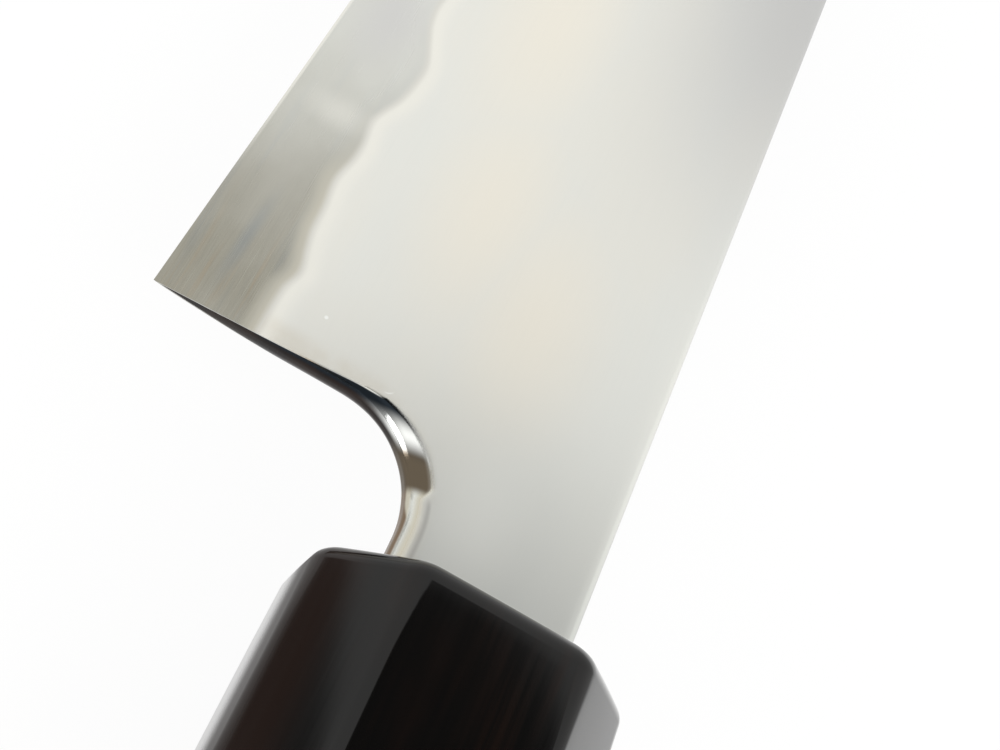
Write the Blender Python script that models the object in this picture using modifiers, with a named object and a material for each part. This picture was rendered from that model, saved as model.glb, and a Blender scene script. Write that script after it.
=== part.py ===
"""A long slicing knife with a forged three-layer blade and an eight-sided handle.

It lies on its side. +X runs from the tip to the butt, +Y from the cutting edge to the
spine, and +Z is up, away from the face that lies down. Lengths are in metres.

Every piece hangs from one empty on the handle's axis, at the ferrule's front face. Along
the blade, a "reach" is the distance from that face towards the tip, so x is minus reach.
"""
import math

import bmesh
import bpy

# Blade outline
BLADE_LENGTH = 0.270
HEEL_SETBACK = 0.0122
SPINE_HEIGHT = 0.0077
HEEL_DROP = 0.0302
EDGE_RISE_DEG = 2.0
SPINE_RISE_DEG = 0.46
TIP_SPINE_SWEEP = 0.0140
EDGE_SWEEP_START = 0.170
SPINE_SWEEP_START = 0.150
EDGE_SWEEP_POWER = 2.8
SPINE_SWEEP_POWER = 2.4

# Blade thickness
SPINE_THICKNESS = 0.0032
TIP_THICKNESS = 0.0006
TANG_END_THICKNESS = 0.0022
EVEN_THINNING = 0.57
TIP_THINNING_POWER = 6.0
SHOULDER_THICKNESS = 0.00027
BEVEL_HEIGHT = 0.0008
GRIND_POWER = 3.0
SPINE_EASING = 0.0006
TIP_BLUNT = 0.0003

# Close to the tip these hold the bevel, its shoulder and the easing within the thin, low section
BEVEL_SHARE_OF_HEIGHT = 0.15
SHOULDER_SHARE_OF_SPINE = 0.4
EASING_SHARE_OF_SPINE = 0.7
EASING_SHARE_OF_HEIGHT = 0.2

# Core and cladding: the core steel shows below this line, given as (reach, height over the edge)
CORE_THICKNESS = 0.00100
CORE_TIP_THICKNESS = 0.00040
LAMINATION_LINE = (
    (0.0122, 0.0080), (0.0165, 0.0079), (0.0184, 0.0083), (0.0204, 0.0078), (0.0221, 0.0074),
    (0.0244, 0.0072), (0.0271, 0.0068), (0.0295, 0.0071), (0.0312, 0.0071), (0.0336, 0.0067),
    (0.0348, 0.0070), (0.0369, 0.0077), (0.0397, 0.0080), (0.0413, 0.0079), (0.0434, 0.0071),
    (0.0453, 0.0064), (0.0475, 0.0061), (0.0500, 0.0064), (0.0540, 0.0068), (0.0620, 0.0076),
    (0.0710, 0.0068), (0.0800, 0.0074), (0.0920, 0.0063), (0.1030, 0.0072),
    (0.1130, 0.0065), (0.1260, 0.0073), (0.1380, 0.0064), (0.1510, 0.0070), (0.1640, 0.0061),
    (0.1770, 0.0068), (0.1900, 0.0061), (0.2050, 0.0066), (0.2210, 0.0060), (0.2370, 0.0063),
    (0.2520, 0.0058), (0.2680, 0.0054), (0.2900, 0.0050),
)

# Choil, neck and tang
CHOIL_RADIUS = 0.0079
NECK_DROP = 0.0070
NECK_INSIDE = 0.0060
NOSE_RADIUS = 0.00125
NOSE_START = 0.00010
WALL_ROUNDING = 0.00045
NOSE_GROWTH = 1.6
TANG_LENGTH = 0.105
TANG_HEIGHT = 0.0084
TANG_END_HEIGHT = 0.0050

# Handle, outside
HANDLE_LENGTH = 0.145
FERRULE_LENGTH = 0.028
FERRULE_HEIGHT = 0.0240
FERRULE_THICKNESS = 0.0206
FERRULE_SIDE_FLAT = 0.0128
FERRULE_EDGE_FLAT = 0.0086
BUTT_HEIGHT = 0.0258
BUTT_THICKNESS = 0.0222
BUTT_SIDE_FLAT = 0.0138
BUTT_EDGE_FLAT = 0.0092
FRONT_ROUNDING = 0.0016
BUTT_ROUNDING = 0.0014
RIDGE_EASING = 0.00035

# Handle, inside
FRONT_WALL = 0.0100
DOWEL_DIAMETER = 0.0139
DOWEL_END = 0.0032
BEDDING_WALL = 0.0005
SEAL_WALL = 0.0005
SEAL_DEPTH = 0.0056
GLUE_GAP = 0.0003

# How far a cutter runs past the face it opens, and how thick a cutting plate is beside the blade
OVERRUN = 0.004
PLATE_THICKNESS = 0.0096

# How finely curved shapes are divided
CHOIL_STEPS = 14
NOSE_STEPS = 5
FACE_STEPS = 6
FACE_CROWDING = 1.6
BLADE_STEPS = 16
TIP_STEPS = 18
LINE_STEPS = 4
ROUND_SIDES = 40

TIP_REACH = HEEL_SETBACK + BLADE_LENGTH


def clear_scene():
    for obj in list(bpy.data.objects):
        bpy.data.objects.remove(obj, do_unlink=True)


def new_collection(name):
    collection = bpy.data.collections.new(name)
    bpy.context.scene.collection.children.link(collection)
    return collection


def material(name, colour, roughness, metallic):
    made = bpy.data.materials.new(name)
    made.use_nodes = True
    shader = made.node_tree.nodes["Principled BSDF"]
    shader.inputs["Base Color"].default_value = (*colour, 1.0)
    shader.inputs["Roughness"].default_value = roughness
    shader.inputs["Metallic"].default_value = metallic
    return made


def spine_at(reach):
    """Height of the spine over the handle's axis."""
    rise = math.tan(math.radians(SPINE_RISE_DEG)) * max(reach, 0.0)
    share = max(reach - SPINE_SWEEP_START, 0.0) / (TIP_REACH - SPINE_SWEEP_START)
    return SPINE_HEIGHT + rise - TIP_SPINE_SWEEP * share**SPINE_SWEEP_POWER


def edge_at(reach):
    """Height of the cutting edge, which meets the spine at the tip."""
    rise = math.tan(math.radians(EDGE_RISE_DEG)) * max(reach - HEEL_SETBACK, 0.0)
    share = max(reach - EDGE_SWEEP_START, 0.0) / (TIP_REACH - EDGE_SWEEP_START)
    straight = HEEL_DROP - math.tan(math.radians(EDGE_RISE_DEG)) * BLADE_LENGTH
    sweep = spine_at(TIP_REACH) + straight - TIP_BLUNT
    return -HEEL_DROP + rise + sweep * share**EDGE_SWEEP_POWER


def spine_half_thickness(reach):
    """The blade thins evenly to the tip and faster close to it, and the tang thins evenly."""
    if reach < 0:
        share = -reach / TANG_LENGTH
        return (SPINE_THICKNESS + (TANG_END_THICKNESS - SPINE_THICKNESS) * share) / 2
    share = reach / TIP_REACH
    left = 1 - EVEN_THINNING * share - (1 - EVEN_THINNING) * share**TIP_THINNING_POWER
    return (TIP_THICKNESS + (SPINE_THICKNESS - TIP_THICKNESS) * left) / 2


def blade_half_thickness(reach, height):
    """Half the thickness at a height over the axis: ground round, steep at the edge, flat above."""
    low, high = edge_at(reach), spine_at(reach)
    spine = spine_half_thickness(reach)
    shoulder = min(SHOULDER_THICKNESS / 2, SHOULDER_SHARE_OF_SPINE * spine)
    bevel = min(BEVEL_HEIGHT, BEVEL_SHARE_OF_HEIGHT * (high - low))
    share = (height - low - bevel) / (high - low - bevel)
    return shoulder + (spine - shoulder) * (1 - max(1 - share, 0.0) ** GRIND_POWER)


def lamination_height(reach):
    """Height of the wavy line over the edge: a smooth curve through LAMINATION_LINE."""
    points = LAMINATION_LINE
    if reach <= points[0][0]:
        return points[0][1]
    if reach >= points[-1][0]:
        return points[-1][1]
    i = next(i for i in range(1, len(points)) if reach <= points[i][0])
    (a, low), (b, high) = points[i - 1], points[i]
    before, after = points[max(i - 2, 0)], points[min(i + 1, len(points) - 1)]
    slope_a = (high - before[1]) / (b - before[0])
    slope_b = (after[1] - low) / (after[0] - a)
    t = (reach - a) / (b - a)
    smooth = t * t * (3 - 2 * t)
    bend = t * (1 - t) * ((1 - t) * slope_a - t * slope_b) * (b - a)
    return low + (high - low) * smooth + bend


def blade_ring(reach):
    """One section of the blade, from the edge up the near face and down the far one."""
    low, high = edge_at(reach), spine_at(reach)
    spine = spine_half_thickness(reach)
    easing = min(SPINE_EASING, EASING_SHARE_OF_SPINE * spine, EASING_SHARE_OF_HEIGHT * (high - low))
    bevel = min(BEVEL_HEIGHT, BEVEL_SHARE_OF_HEIGHT * (high - low))
    face_top = high - easing
    steps = [(i / FACE_STEPS) ** FACE_CROWDING for i in range(FACE_STEPS + 1)]
    heights = [low + bevel + (face_top - low - bevel) * step for step in steps]
    side = [(y, blade_half_thickness(reach, y)) for y in heights]
    crown = side[-1][1]
    for turn in (30, 60, 90):
        angle = math.radians(turn)
        side.append((face_top + easing * math.sin(angle), crown - easing * (1 - math.cos(angle))))
    near = [(-reach, y, z) for y, z in side]
    far = [(-reach, y, -z) for y, z in reversed(side)]
    return [(-reach, low, 0.0), *near, *far]


def blade_reaches():
    """Even steps along the straight part, and closer ones where the tip sweeps."""
    start = min(EDGE_SWEEP_START, SPINE_SWEEP_START)
    behind = [-TANG_LENGTH, -TANG_LENGTH / 2, -NECK_INSIDE, 0.0]
    even = [HEEL_SETBACK + (start - HEEL_SETBACK) * i / BLADE_STEPS for i in range(BLADE_STEPS)]
    quarter = math.pi / 2 / TIP_STEPS
    swept = [start + (TIP_REACH - start) * math.sin(quarter * i) for i in range(TIP_STEPS + 1)]
    return behind + even + swept


def mesh_from(bm, name):
    """The finished mesh, with every face turned outward."""
    bmesh.ops.recalc_face_normals(bm, faces=bm.faces)
    if bm.calc_volume(signed=True) < 0:
        bmesh.ops.reverse_faces(bm, faces=bm.faces)
    mesh = bpy.data.meshes.new(name)
    bm.to_mesh(mesh)
    bm.free()
    return mesh


def loft_mesh(name, rings, ease=None):
    """A closed skin over rings of equally many points; ease gives each edge's bevel weight."""
    bm = bmesh.new()
    rows = [[bm.verts.new(point) for point in ring] for ring in rings]
    count = len(rings[0])
    for row, following in zip(rows, rows[1:]):
        for i in range(count):
            j = (i + 1) % count
            bm.faces.new((row[i], row[j], following[j], following[i]))
    bm.faces.new(rows[0])
    bm.faces.new(rows[-1])
    if ease:
        weight = bm.edges.layers.float.new("bevel_weight_edge")
        for edge in bm.edges:
            edge[weight] = ease(edge.verts[0].co, edge.verts[1].co)
    else:
        bmesh.ops.triangulate(bm, faces=bm.faces)
    return mesh_from(bm, name)


def plate_mesh(name, outline, thickness):
    """A flat outline of (x, y) points, as thick as stated and centred on its plane."""
    curve = bpy.data.curves.new(name, "CURVE")
    curve.dimensions = "2D"
    curve.fill_mode = "BOTH"
    curve.extrude = thickness / 2
    spline = curve.splines.new("POLY")
    spline.points.add(len(outline) - 1)
    for point, (x, y) in zip(spline.points, outline):
        point.co = (x, y, 0.0, 1.0)
    spline.use_cyclic_u = True
    flat = bpy.data.objects.new(name, curve)
    bpy.context.scene.collection.objects.link(flat)
    graph = bpy.context.evaluated_depsgraph_get()
    mesh = bpy.data.meshes.new_from_object(flat.evaluated_get(graph))
    bpy.data.objects.remove(flat, do_unlink=True)
    bm = bmesh.new()
    bm.from_mesh(mesh)
    bmesh.ops.remove_doubles(bm, verts=bm.verts, dist=1e-6)
    bpy.data.meshes.remove(mesh)
    return mesh_from(bm, name)


def rod_mesh(name, diameter, length):
    """A cylinder along +X from the origin."""
    bm = bmesh.new()
    bmesh.ops.create_cone(
        bm,
        cap_ends=True,
        segments=ROUND_SIDES,
        radius1=diameter / 2,
        radius2=diameter / 2,
        depth=length,
    )
    for vert in bm.verts:
        vert.co = (vert.co.z + length / 2, vert.co.x, vert.co.y)
    return mesh_from(bm, name)


def place(name, mesh, collection, at=(0.0, 0.0, 0.0), finish=None):
    obj = bpy.data.objects.new(name, mesh)
    collection.objects.link(obj)
    obj.parent = KNIFE
    obj.location = at
    if finish:
        mesh.materials.append(finish)
    return obj


def cutter(name, mesh, at=(0.0, 0.0, 0.0)):
    obj = place(name, mesh, CUTTERS, at)
    obj.hide_render = True
    obj.display_type = "WIRE"
    return obj


def boolean(obj, other, operation="DIFFERENCE"):
    modifier = obj.modifiers.new(other.name, "BOOLEAN")
    modifier.object = other
    modifier.operation = operation
    modifier.solver = "EXACT"


def bevel(obj, width, segments):
    modifier = obj.modifiers.new("easing", "BEVEL")
    modifier.limit_method = "WEIGHT"
    modifier.width = width
    modifier.segments = segments
    obj.modifiers.new("flat_facets", "TRIANGULATE")


def smooth(obj):
    obj.data.shade_smooth()
    obj.data.set_sharp_from_angle(angle=math.radians(30))


def choil_outline(grow):
    """Below the neck and the tang, grown into the steel: little at the heel, fully at the neck."""
    least = grow * WALL_ROUNDING / NOSE_RADIUS
    heel = -HEEL_SETBACK - least
    neck = -NECK_DROP + grow
    tang = -TANG_HEIGHT / 2
    below = -HEEL_DROP - OVERRUN
    outline = [(heel, below)]
    for i in range(CHOIL_STEPS + 1):
        share = i / CHOIL_STEPS
        angle = math.pi / 2 * share
        grown = min(NOSE_GROWTH * share, 1.0)
        radius = CHOIL_RADIUS + least + (grow - least) * grown * grown * (3 - 2 * grown)
        x = -HEEL_SETBACK + CHOIL_RADIUS - radius * math.cos(angle)
        y = -NECK_DROP - CHOIL_RADIUS + radius * math.sin(angle)
        outline.append((x, y))
    outline += [(NECK_INSIDE, neck), (NECK_INSIDE, tang)]
    outline += [(TANG_LENGTH + OVERRUN, -TANG_END_HEIGHT / 2), (TANG_LENGTH + OVERRUN, below)]
    return outline


def choil_cutter():
    """Its waist at mid thickness leaves a rounded nose on the steel, fuller where it is thick."""
    levels = []
    for i in range(NOSE_STEPS + 1):
        angle = math.pi / 2 * i / NOSE_STEPS
        depth = NOSE_START + NOSE_RADIUS * math.sin(angle)
        grow = NOSE_RADIUS * (1 - math.cos(angle))
        levels.append((depth, grow))
    levels.append((SPINE_THICKNESS, NOSE_RADIUS))
    both = [(-z, grow) for z, grow in reversed(levels)] + levels
    rings = [[(x, y, z) for x, y in choil_outline(grow)] for z, grow in both]
    return cutter("choil_cutter", loft_mesh("choil_cutter", rings))


def tang_top_cutter():
    high = SPINE_HEIGHT + OVERRUN
    outline = [
        (NECK_INSIDE, high),
        (NECK_INSIDE, TANG_HEIGHT / 2),
        (TANG_LENGTH + OVERRUN, TANG_END_HEIGHT / 2),
        (TANG_LENGTH + OVERRUN, high),
    ]
    return cutter("tang_top_cutter", plate_mesh("tang_top_cutter", outline, PLATE_THICKNESS))


def cladding_zone(name, side):
    """Where one side's soft iron lies: over the core's face and above the wavy line."""
    count = len(LAMINATION_LINE) * LINE_STEPS
    end = TIP_REACH + OVERRUN
    outline = []
    for i in range(count + 1):
        reach = end * i / count
        outline.append((-reach, edge_at(min(reach, TIP_REACH)) + lamination_height(reach)))
    high = SPINE_HEIGHT + OVERRUN
    back = TANG_LENGTH + OVERRUN
    outline += [(-end, high), (back, high), (back, outline[0][1])]
    mesh = plate_mesh(name, outline, PLATE_THICKNESS)
    slope = math.atan((CORE_THICKNESS - CORE_TIP_THICKNESS) / 2 / BLADE_LENGTH)
    at_ferrule = CORE_THICKNESS / 2 + HEEL_SETBACK * math.tan(slope)
    middle = at_ferrule + PLATE_THICKNESS / 2 / math.cos(slope)
    zone = cutter(name, mesh, at=(0.0, 0.0, side * middle))
    zone.rotation_euler = (0.0, -side * slope, 0.0)
    return zone


def forge_blade():
    """Three layers from one blade form: the hard core and the soft iron on either side."""
    form = loft_mesh("blade_form", [blade_ring(reach) for reach in blade_reaches()])
    choil, tang_top = choil_cutter(), tang_top_cutter()
    left = cladding_zone("left_cladding_zone", 1)
    right = cladding_zone("right_cladding_zone", -1)
    layers = {
        "core_steel": (CORE_FINISH, [(left, "DIFFERENCE"), (right, "DIFFERENCE")]),
        "cladding_left": (IRON_FINISH, [(left, "INTERSECT")]),
        "cladding_right": (IRON_FINISH, [(right, "INTERSECT")]),
    }
    for name, (finish, cuts) in layers.items():
        layer = place(name, form.copy(), PARTS, finish=finish)
        boolean(layer, choil)
        boolean(layer, tang_top)
        for zone, operation in cuts:
            boolean(layer, zone, operation)
        smooth(layer)


def octagon(x, share):
    """The handle's eight-sided section, a share of the way from the ferrule to the butt."""

    def between(front, butt):
        return (front + (butt - front) * share) / 2

    tall = between(FERRULE_HEIGHT, BUTT_HEIGHT)
    thick = between(FERRULE_THICKNESS, BUTT_THICKNESS)
    side = between(FERRULE_SIDE_FLAT, BUTT_SIDE_FLAT)
    edge = between(FERRULE_EDGE_FLAT, BUTT_EDGE_FLAT)
    quarter = [(side, thick), (tall, edge), (tall, -edge), (side, -thick)]
    return [(x, y, z) for y, z in quarter] + [(x, -y, -z) for y, z in quarter]


def turn_ferrule():
    def ease(a, b):
        if abs(a.x - b.x) > 1e-6:
            return RIDGE_EASING / FRONT_ROUNDING
        return 1.0 if a.x < 1e-6 else 0.0

    joint = FERRULE_LENGTH / HANDLE_LENGTH
    mesh = loft_mesh("ferrule", [octagon(0.0, 0.0), octagon(FERRULE_LENGTH, joint)], ease)
    ferrule = place("ferrule", mesh, PARTS, finish=HORN_FINISH)
    bevel(ferrule, FRONT_ROUNDING, 4)
    bore = DOWEL_DIAMETER + 2 * GLUE_GAP
    depth = FERRULE_LENGTH - FRONT_WALL + OVERRUN
    boolean(ferrule, cutter("ferrule_bore", rod_mesh("ferrule_bore", bore, depth), (FRONT_WALL, 0, 0)))
    boolean(ferrule, cutter("mouth_slot", neck_bar("mouth_slot", SEAL_WALL + 2 * GLUE_GAP, FRONT_WALL)))
    smooth(ferrule)


def neck_bar(name, margin, depth):
    """A bar that follows the neck's wedge with an even margin round it, through the mouth."""
    low, high = -NECK_DROP - margin, SPINE_HEIGHT + margin
    thin = blade_half_thickness(0.0, -NECK_DROP) + margin
    thick = SPINE_THICKNESS / 2 + margin
    ring = [(low, thin), (high, thick), (high, -thick), (low, -thin)]
    return loft_mesh(name, [[(x, y, z) for y, z in ring] for x in (-OVERRUN, depth + OVERRUN)])


def seal_mouth():
    """The black filler let in round the neck, flush with the ferrule's front face."""
    margin = SEAL_WALL + GLUE_GAP
    low, high = -NECK_DROP - margin, SPINE_HEIGHT + margin
    thin = blade_half_thickness(0.0, -NECK_DROP) + margin
    thick = SPINE_THICKNESS / 2 + margin
    ring = [(low, thin), (high, thick), (high, -thick), (low, -thin)]
    mesh = loft_mesh("mouth_seal", [[(x, y, z) for y, z in ring] for x in (0.0, SEAL_DEPTH)])
    seal = place("mouth_seal", mesh, PARTS, finish=SEAL_FINISH)
    boolean(seal, cutter("neck_clearance", neck_bar("neck_clearance", GLUE_GAP, SEAL_DEPTH)))


def shape_handle():
    def ease(a, b):
        if abs(a.x - b.x) > 1e-6:
            return RIDGE_EASING / BUTT_ROUNDING
        return 1.0 if a.x > body / 2 else 0.0

    body = HANDLE_LENGTH - FERRULE_LENGTH
    joint = FERRULE_LENGTH / HANDLE_LENGTH
    reach_in = dowel_back() + GLUE_GAP - FERRULE_LENGTH
    mesh = loft_mesh("handle", [octagon(0.0, joint), octagon(body, 1.0)], ease)
    handle = place("handle", mesh, PARTS, (FERRULE_LENGTH, 0.0, 0.0), WOOD_FINISH)
    bevel(handle, BUTT_ROUNDING, 4)
    bore = DOWEL_DIAMETER + 2 * GLUE_GAP
    mesh = rod_mesh("handle_bore", bore, reach_in + OVERRUN)
    boolean(handle, cutter("handle_bore", mesh, (FERRULE_LENGTH - OVERRUN, 0.0, 0.0)))
    smooth(handle)


def tang_bar(name, margin, start, end):
    """A bar that follows the tang's taper with an even margin above, below and beside it."""
    rings = []
    for x in (start, end):
        share = (x - NECK_INSIDE) / (TANG_LENGTH - NECK_INSIDE)
        tall = (TANG_HEIGHT + (TANG_END_HEIGHT - TANG_HEIGHT) * share) / 2 + margin
        thick = spine_half_thickness(-x) + margin
        rings.append([(x, tall, thick), (x, tall, -thick), (x, -tall, -thick), (x, -tall, thick)])
    return loft_mesh(name, rings)


def dowel_back():
    """Where the dowel ends: past the tang, its bedding and the glue on both sides of that."""
    return TANG_LENGTH + BEDDING_WALL + 2 * GLUE_GAP + DOWEL_END


def fit_dowel():
    """The hardwood dowel that joins ferrule and handle, slotted for the tang and its bedding."""
    start = FRONT_WALL + GLUE_GAP
    mesh = rod_mesh("handle_dowel", DOWEL_DIAMETER, dowel_back() - start)
    dowel = place("handle_dowel", mesh, PARTS, (start, 0.0, 0.0), DOWEL_FINISH)
    margin = BEDDING_WALL + 2 * GLUE_GAP
    slot = tang_bar("dowel_slot", margin, start - OVERRUN, TANG_LENGTH + margin)
    boolean(dowel, cutter("dowel_slot", slot))
    smooth(dowel)


def bed_tang():
    """The adhesive round the tang, a thin cup that fills the dowel's slot."""
    start = FRONT_WALL + GLUE_GAP
    margin = BEDDING_WALL + GLUE_GAP
    mesh = tang_bar("tang_bedding", margin, start, TANG_LENGTH + margin)
    bedding = place("tang_bedding", mesh, PARTS, finish=BEDDING_FINISH)
    room = tang_bar("tang_clearance", GLUE_GAP, start - OVERRUN, TANG_LENGTH + GLUE_GAP)
    boolean(bedding, cutter("tang_clearance", room))


def seat_on_ground():
    """Moves the whole knife so that the origin lies under its middle, level with its lowest face."""
    middle_x = (HANDLE_LENGTH - TIP_REACH) / 2
    top = max(BUTT_HEIGHT, FERRULE_HEIGHT) / 2
    middle_y = (top - HEEL_DROP) / 2
    lowest = max(BUTT_THICKNESS, FERRULE_THICKNESS) / 2
    KNIFE.location = (-middle_x, -middle_y, lowest)


clear_scene()
PARTS = new_collection("slicing_knife")
CUTTERS = new_collection("cutters")
KNIFE = bpy.data.objects.new("knife_axis", None)
PARTS.objects.link(KNIFE)

CORE_FINISH = material("core_steel", (0.42, 0.41, 0.38), 0.22, 1.0)
IRON_FINISH = material("soft_iron", (0.66, 0.65, 0.61), 0.38, 1.0)
HORN_FINISH = material("buffalo_horn", (0.012, 0.010, 0.009), 0.16, 0.0)
SEAL_FINISH = material("black_filler", (0.015, 0.014, 0.013), 0.45, 0.0)
WOOD_FINISH = material("magnolia_wood", (0.62, 0.47, 0.29), 0.55, 0.0)
DOWEL_FINISH = material("oak_dowel", (0.45, 0.30, 0.16), 0.65, 0.0)
BEDDING_FINISH = material("amber_adhesive", (0.40, 0.25, 0.08), 0.35, 0.0)

forge_blade()
turn_ferrule()
seal_mouth()
fit_dowel()
bed_tang()
shape_handle()
seat_on_ground()
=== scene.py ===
import math
from collections import namedtuple

import bmesh
import bpy
from mathutils import Matrix, Vector


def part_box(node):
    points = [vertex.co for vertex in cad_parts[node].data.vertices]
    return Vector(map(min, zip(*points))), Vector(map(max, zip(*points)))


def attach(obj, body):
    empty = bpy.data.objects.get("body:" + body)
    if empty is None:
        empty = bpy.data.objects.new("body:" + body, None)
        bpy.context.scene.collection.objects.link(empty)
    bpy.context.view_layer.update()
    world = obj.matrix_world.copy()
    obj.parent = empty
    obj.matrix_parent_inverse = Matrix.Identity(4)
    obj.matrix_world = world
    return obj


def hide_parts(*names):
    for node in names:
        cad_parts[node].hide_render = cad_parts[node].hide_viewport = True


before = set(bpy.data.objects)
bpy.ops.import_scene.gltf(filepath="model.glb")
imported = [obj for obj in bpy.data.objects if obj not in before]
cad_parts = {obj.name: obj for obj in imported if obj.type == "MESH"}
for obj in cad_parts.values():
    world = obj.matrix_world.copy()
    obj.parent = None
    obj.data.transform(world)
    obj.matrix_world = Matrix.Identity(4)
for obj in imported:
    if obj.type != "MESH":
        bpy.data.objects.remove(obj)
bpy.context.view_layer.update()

# %% [markdown]
# # A forged slicing knife, dressed for its picture
# The imported model above is a plain, faceted knife that fits together. This file gives it the
# surfaces of the real one: a satin blade of three welded layers, a polished hollow at the heel,
# a black horn ferrule and a pale wooden handle.

# %% [markdown]
# Everything on a knife is measured from one point: where the blade's middle plane meets the
# front face of the ferrule, on the handle's axis. From there a "reach" runs forward to the tip,
# against +X, and a "height" runs up to the spine, along +Y.

# %% The knife's own origin
mouth_low, mouth_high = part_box("ferrule")
AXIS = Vector((mouth_low.x, (mouth_low.y + mouth_high.y) / 2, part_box("handle")[1].z / 2))
print("handle axis starts at", [round(value, 5) for value in AXIS])

# %% [markdown]
# ## The camera
# The picture looks down past the handle at the heel, from only a hand's width away, so the
# blade runs out of the frame at the top. The three directions of the view are the columns of a
# rotation matrix. A lens this close needs a near clipping distance below its default of 10 cm.

# %% Set the camera
CAMERA_PLACE = Vector((0.106959, -0.015644, 0.105813))
CAMERA_RIGHT = Vector((-0.36054388, 0.84489762, 0.39516595))
CAMERA_DOWN = Vector((0.77595901, 0.50678521, -0.37557471))
CAMERA_FORWARD = Vector((-0.51758643, 0.17122141, -0.83832423))
FOCAL_LENGTH_MM = 53.91
NEAR_CLIP = 0.005


def put(name, data):
    """Adds an object that holds this data to the scene."""
    made = bpy.data.objects.new(name, data)
    bpy.context.scene.collection.objects.link(made)
    return made


camera_data = bpy.data.cameras.new("heel_camera")
camera_data.lens = FOCAL_LENGTH_MM
camera_data.clip_start = NEAR_CLIP
camera = put("heel_camera", camera_data)
turn = Matrix((CAMERA_RIGHT, -CAMERA_DOWN, -CAMERA_FORWARD)).transposed()
camera.matrix_world = Matrix.Translation(CAMERA_PLACE) @ turn.to_4x4()
bpy.context.scene.camera = camera
print("camera stands", round(1000 * CAMERA_PLACE.z), "mm over the table")

# %% [markdown]
# ## The blade's shape
# A blade like this is drawn out under the hammer and then ground. Three curves hold its whole
# shape: the spine, the cutting edge, and the thickness between them, which is even below the
# spine and rounds off towards the edge. They are the plain model's curves, written as functions
# so that the dressed blade can be divided as finely as a mirror polish needs.

# %% Curves of the blade
BLADE_LENGTH = 0.270
HEEL_SETBACK = 0.0122
SPINE_HEIGHT = 0.0077
HEEL_DROP = 0.0302
EDGE_RISE_DEG = 2.0
SPINE_RISE_DEG = 0.46
TIP_SPINE_SWEEP = 0.0140
EDGE_SWEEP_START = 0.170
SPINE_SWEEP_START = 0.150
EDGE_SWEEP_POWER = 2.8
SPINE_SWEEP_POWER = 2.4
TIP_BLUNT = 0.0003
TIP_REACH = HEEL_SETBACK + BLADE_LENGTH
TANG_LENGTH = 0.105
SPINE_THICKNESS = 0.0032
TIP_THICKNESS = 0.0006
TANG_END_THICKNESS = 0.0022
EVEN_THINNING = 0.57
TIP_THINNING_POWER = 6.0
SHOULDER_THICKNESS = 0.00027
BEVEL_HEIGHT = 0.0008
BEVEL_SHARE = 0.15
GRIND_POWER = 3.0
THIN_SHOULDER = 0.4


def lerp(a, b, t):
    return a + (b - a) * t


def spine_at(reach):
    rise = math.tan(math.radians(SPINE_RISE_DEG)) * max(reach, 0.0)
    share = max(reach - SPINE_SWEEP_START, 0.0) / (TIP_REACH - SPINE_SWEEP_START)
    return SPINE_HEIGHT + rise - TIP_SPINE_SWEEP * share**SPINE_SWEEP_POWER


def edge_at(reach):
    slope = math.tan(math.radians(EDGE_RISE_DEG))
    share = max(reach - EDGE_SWEEP_START, 0.0) / (TIP_REACH - EDGE_SWEEP_START)
    sweep = spine_at(TIP_REACH) + HEEL_DROP - slope * BLADE_LENGTH - TIP_BLUNT
    return -HEEL_DROP + slope * max(reach - HEEL_SETBACK, 0.0) + sweep * share**EDGE_SWEEP_POWER


def spine_half_thickness(reach):
    if reach < 0:
        return lerp(SPINE_THICKNESS, TANG_END_THICKNESS, -reach / TANG_LENGTH) / 2
    share = reach / TIP_REACH
    left = 1 - EVEN_THINNING * share - (1 - EVEN_THINNING) * share**TIP_THINNING_POWER
    return lerp(TIP_THICKNESS, SPINE_THICKNESS, left) / 2


def bevel_top(reach):
    low = edge_at(reach)
    return low + min(BEVEL_HEIGHT, BEVEL_SHARE * (spine_at(reach) - low))


def face_depth(reach, height):
    """How far the ground face stands from the blade's middle plane."""
    low, high = bevel_top(reach), spine_at(reach)
    spine = spine_half_thickness(reach)
    shoulder = min(SHOULDER_THICKNESS / 2, THIN_SHOULDER * spine)
    share = (height - low) / (high - low)
    return lerp(shoulder, spine, 1 - max(1 - share, 0.0) ** GRIND_POWER)


print("blade is", round(2000 * face_depth(HEEL_SETBACK, -0.010), 2), "mm thick beside the hollow")

# %% [markdown]
# Three layers are welded before the blade is forged: hard steel in the middle and soft iron on
# both sides. Grinding cuts through the iron near the edge, and the border wanders because the
# hammer never spreads the layers evenly. It is a smooth curve through a list of points. Inside
# the blade, the layers meet on a plane on each side of the core.

# %% The wavy line and the core
CORE_THICKNESS = 0.00100
CORE_TIP_THICKNESS = 0.00040
LINE_POINTS_MM = (
    (12.2, 8.0), (16.5, 7.9), (18.4, 8.3), (20.4, 7.8), (22.1, 7.4), (24.4, 7.2), (27.1, 6.8),
    (29.5, 7.1), (31.2, 7.1), (33.6, 6.7), (34.8, 7.0), (36.9, 7.7), (39.7, 8.0), (41.3, 7.9),
    (43.4, 7.1), (45.3, 6.4), (47.5, 6.1), (50.0, 6.4), (54.0, 6.8), (62.0, 7.6), (71.0, 6.8),
    (80.0, 7.4), (92.0, 6.3), (103.0, 7.2), (113.0, 6.5), (126.0, 7.3), (138.0, 6.4),
    (151.0, 7.0), (164.0, 6.1), (177.0, 6.8), (190.0, 6.1), (205.0, 6.6), (221.0, 6.0),
    (237.0, 6.3), (252.0, 5.8), (268.0, 5.4), (290.0, 5.0),
)
LAMINATION_LINE = [(reach / 1000, height / 1000) for reach, height in LINE_POINTS_MM]


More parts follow.
